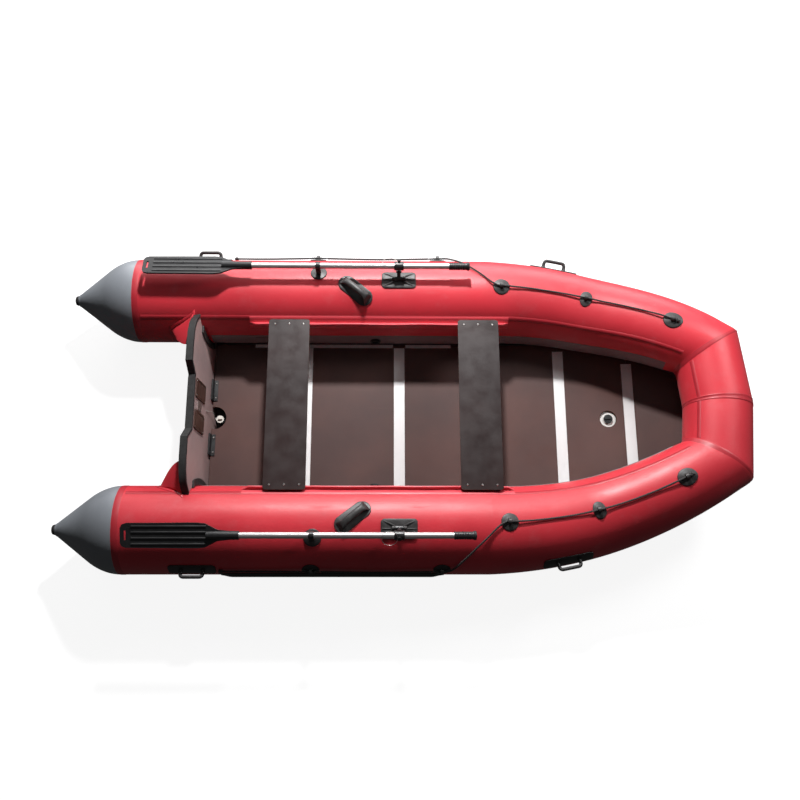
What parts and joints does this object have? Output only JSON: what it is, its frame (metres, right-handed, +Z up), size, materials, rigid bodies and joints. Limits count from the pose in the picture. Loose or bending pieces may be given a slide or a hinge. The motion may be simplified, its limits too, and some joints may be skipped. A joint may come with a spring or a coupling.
{
  "type": "inflatable dinghy",
  "caption": "Inflatable dinghy: red air tubes with grey stern cones, plywood floor and transom, sliding seats, stowed oars on swivel oarlocks.",
  "frame": {"origin": "under the middle of the hull, on the ground", "axes": "+X to the bow, +Y to port, +Z up"},
  "size_m": [3.37, 1.666, 0.5176],
  "materials": {
    "red_tube_fabric": "smooth coated PVC fabric, satin",
    "red_gusset_fabric": "coated PVC fabric, satin",
    "red_rail": "moulded PVC strip, satin",
    "grey_cone_fabric": "coated PVC fabric, satin grey",
    "grey_floor_fabric": "coated PVC fabric, matt dark grey",
    "pale_keel_fabric": "coated PVC fabric, pale grey",
    "floor_plywood": "phenolic film-faced plywood, brown satin",
    "seat_plywood": "phenolic film-faced plywood, dark brown satin",
    "transom_plywood": "painted plywood, dark grey-brown satin",
    "brown_pad": "dark brown plywood pad",
    "aluminium_profile": "anodised extrusion, satin",
    "oar_aluminium": "drawn tube, satin",
    "stainless_fastener": "stainless steel, satin",
    "black_rubber": "moulded rubber, matt black",
    "motor_plate_plastic": "moulded plastic, dark grey",
    "black_plastic": "moulded plastic, black",
    "oar_plastic": "moulded plastic, satin black",
    "pale_valve_plastic": "moulded plastic, pale grey",
    "white_plug": "moulded rubber, off-white",
    "white_cord": "thin braided cord, off-white",
    "black_rope": "braided rope, black"
  },
  "bodies": {
    "hull": {"side_tube_port": "red_tube_fabric", "side_tube_stbd": "red_tube_fabric", "stern_cones": "grey_cone_fabric", "cone_caps": "black_rubber", "bow_quarter_aft_port": "red_tube_fabric", "bow_quarter_aft_stbd": "red_tube_fabric", "bow_quarter_fwd_port": "red_tube_fabric", "bow_quarter_fwd_stbd": "red_tube_fabric", "bow_tube": "red_tube_fabric", "baffles": "pale_keel_fabric", "inner_bands": "grey_floor_fabric", "bottom_skin_port": "grey_floor_fabric", "bottom_skin_stbd": "grey_floor_fabric", "air_keel": "pale_keel_fabric", "keel_guard": "black_rubber", "rub_strakes": "black_rubber", "seat_rails": "red_rail", "floor_board_1": "floor_plywood", "floor_board_2": "floor_plywood", "floor_board_3": "floor_plywood", "floor_board_4": "floor_plywood", "floor_board_5": "floor_plywood", "floor_board_6": "floor_plywood", "floor_joiners": "aluminium_profile", "floor_stringers": "aluminium_profile", "transom": "transom_plywood", "transom_trim": "black_rubber", "motor_plate": "motor_plate_plastic", "motor_pad": "brown_pad", "transom_flanges": "black_rubber", "transom_gussets": "red_gusset_fabric", "transom_hardware": "stainless_fastener", "floor_brackets": "black_plastic", "drain_valve": "black_plastic", "drain_cord": "white_cord", "keel_valve": "pale_valve_plastic", "tube_valves": "black_plastic", "oarlock_bases": "black_rubber", "d_handles": "black_rubber", "oval_grips": "black_rubber", "eye_pads": "black_rubber", "grab_lines": "black_rope"},
    "seat_aft": {"seat_aft": "seat_plywood", "seat_shoes_aft": "black_plastic", "seat_screws_aft": "stainless_fastener"},
    "seat_fwd": {"seat_fwd": "seat_plywood", "seat_shoes_fwd": "black_plastic", "seat_screws_fwd": "stainless_fastener"},
    "drain_plug": {"drain_plug": "white_plug"},
    "keel_valve_cap": {"keel_valve_cap": "black_plastic"},
    "tube_valve_cap_port": {"tube_valve_cap_port": "black_plastic"},
    "tube_valve_cap_stbd": {"tube_valve_cap_stbd": "black_plastic"},
    "oarlock_swivel_port": {"oarlock_swivel_port": "black_plastic"},
    "oar_port": {"oar_shaft_port": "oar_aluminium", "oar_blade_port": "oar_plastic", "oar_fittings_port": "oar_plastic"},
    "oarlock_swivel_stbd": {"oarlock_swivel_stbd": "black_plastic"},
    "oar_stbd": {"oar_shaft_stbd": "oar_aluminium", "oar_blade_stbd": "oar_plastic", "oar_fittings_stbd": "oar_plastic"}
  },
  "joints": [
    {"name": "seat_aft_slide", "type": "slide", "parent": "hull", "child": "seat_aft", "axis": [1, 0, 0], "range_m": [-0.09, 0.33]},
    {"name": "seat_fwd_slide", "type": "slide", "parent": "hull", "child": "seat_fwd", "axis": [1, 0, 0], "range_m": [-0.38, 0.06]},
    {"name": "drain_plug_pull", "type": "slide", "parent": "hull", "child": "drain_plug", "axis": [0, 0, 1], "range_m": [0, 0.03], "deforming": ["drain_cord"]},
    {"name": "keel_valve_cap_pull", "type": "slide", "parent": "hull", "child": "keel_valve_cap", "axis": [0, 0, 1], "range_m": [0, 0.03]},
    {"name": "tube_valve_cap_port_pull", "type": "slide", "parent": "hull", "child": "tube_valve_cap_port", "axis": [0, -1, 0], "range_m": [0, 0.02]},
    {"name": "tube_valve_cap_stbd_pull", "type": "slide", "parent": "hull", "child": "tube_valve_cap_stbd", "axis": [0, 1, 0], "range_m": [0, 0.02]},
    {"name": "oar_lift_port", "type": "hinge", "parent": "hull", "child": "oarlock_swivel_port", "pos_m": [-0.034, 0.621, 0.436], "axis": [1, 0, 0], "range_deg": [0, 50]},
    {"name": "oar_swing_port", "type": "hinge", "parent": "oarlock_swivel_port", "child": "oar_port", "pos_m": [-0.034, 0.66342, 0.48656], "axis": [0, -0.6428, -0.766], "range_deg": [0, 110]},
    {"name": "oar_lift_stbd", "type": "hinge", "parent": "hull", "child": "oarlock_swivel_stbd", "pos_m": [-0.034, -0.621, 0.436], "axis": [-1, 0, 0], "range_deg": [0, 50]},
    {"name": "oar_swing_stbd", "type": "hinge", "parent": "oarlock_swivel_stbd", "child": "oar_stbd", "pos_m": [-0.034, -0.66342, 0.48656], "axis": [0, -0.6428, 0.766], "range_deg": [0, 110]}
  ]
}
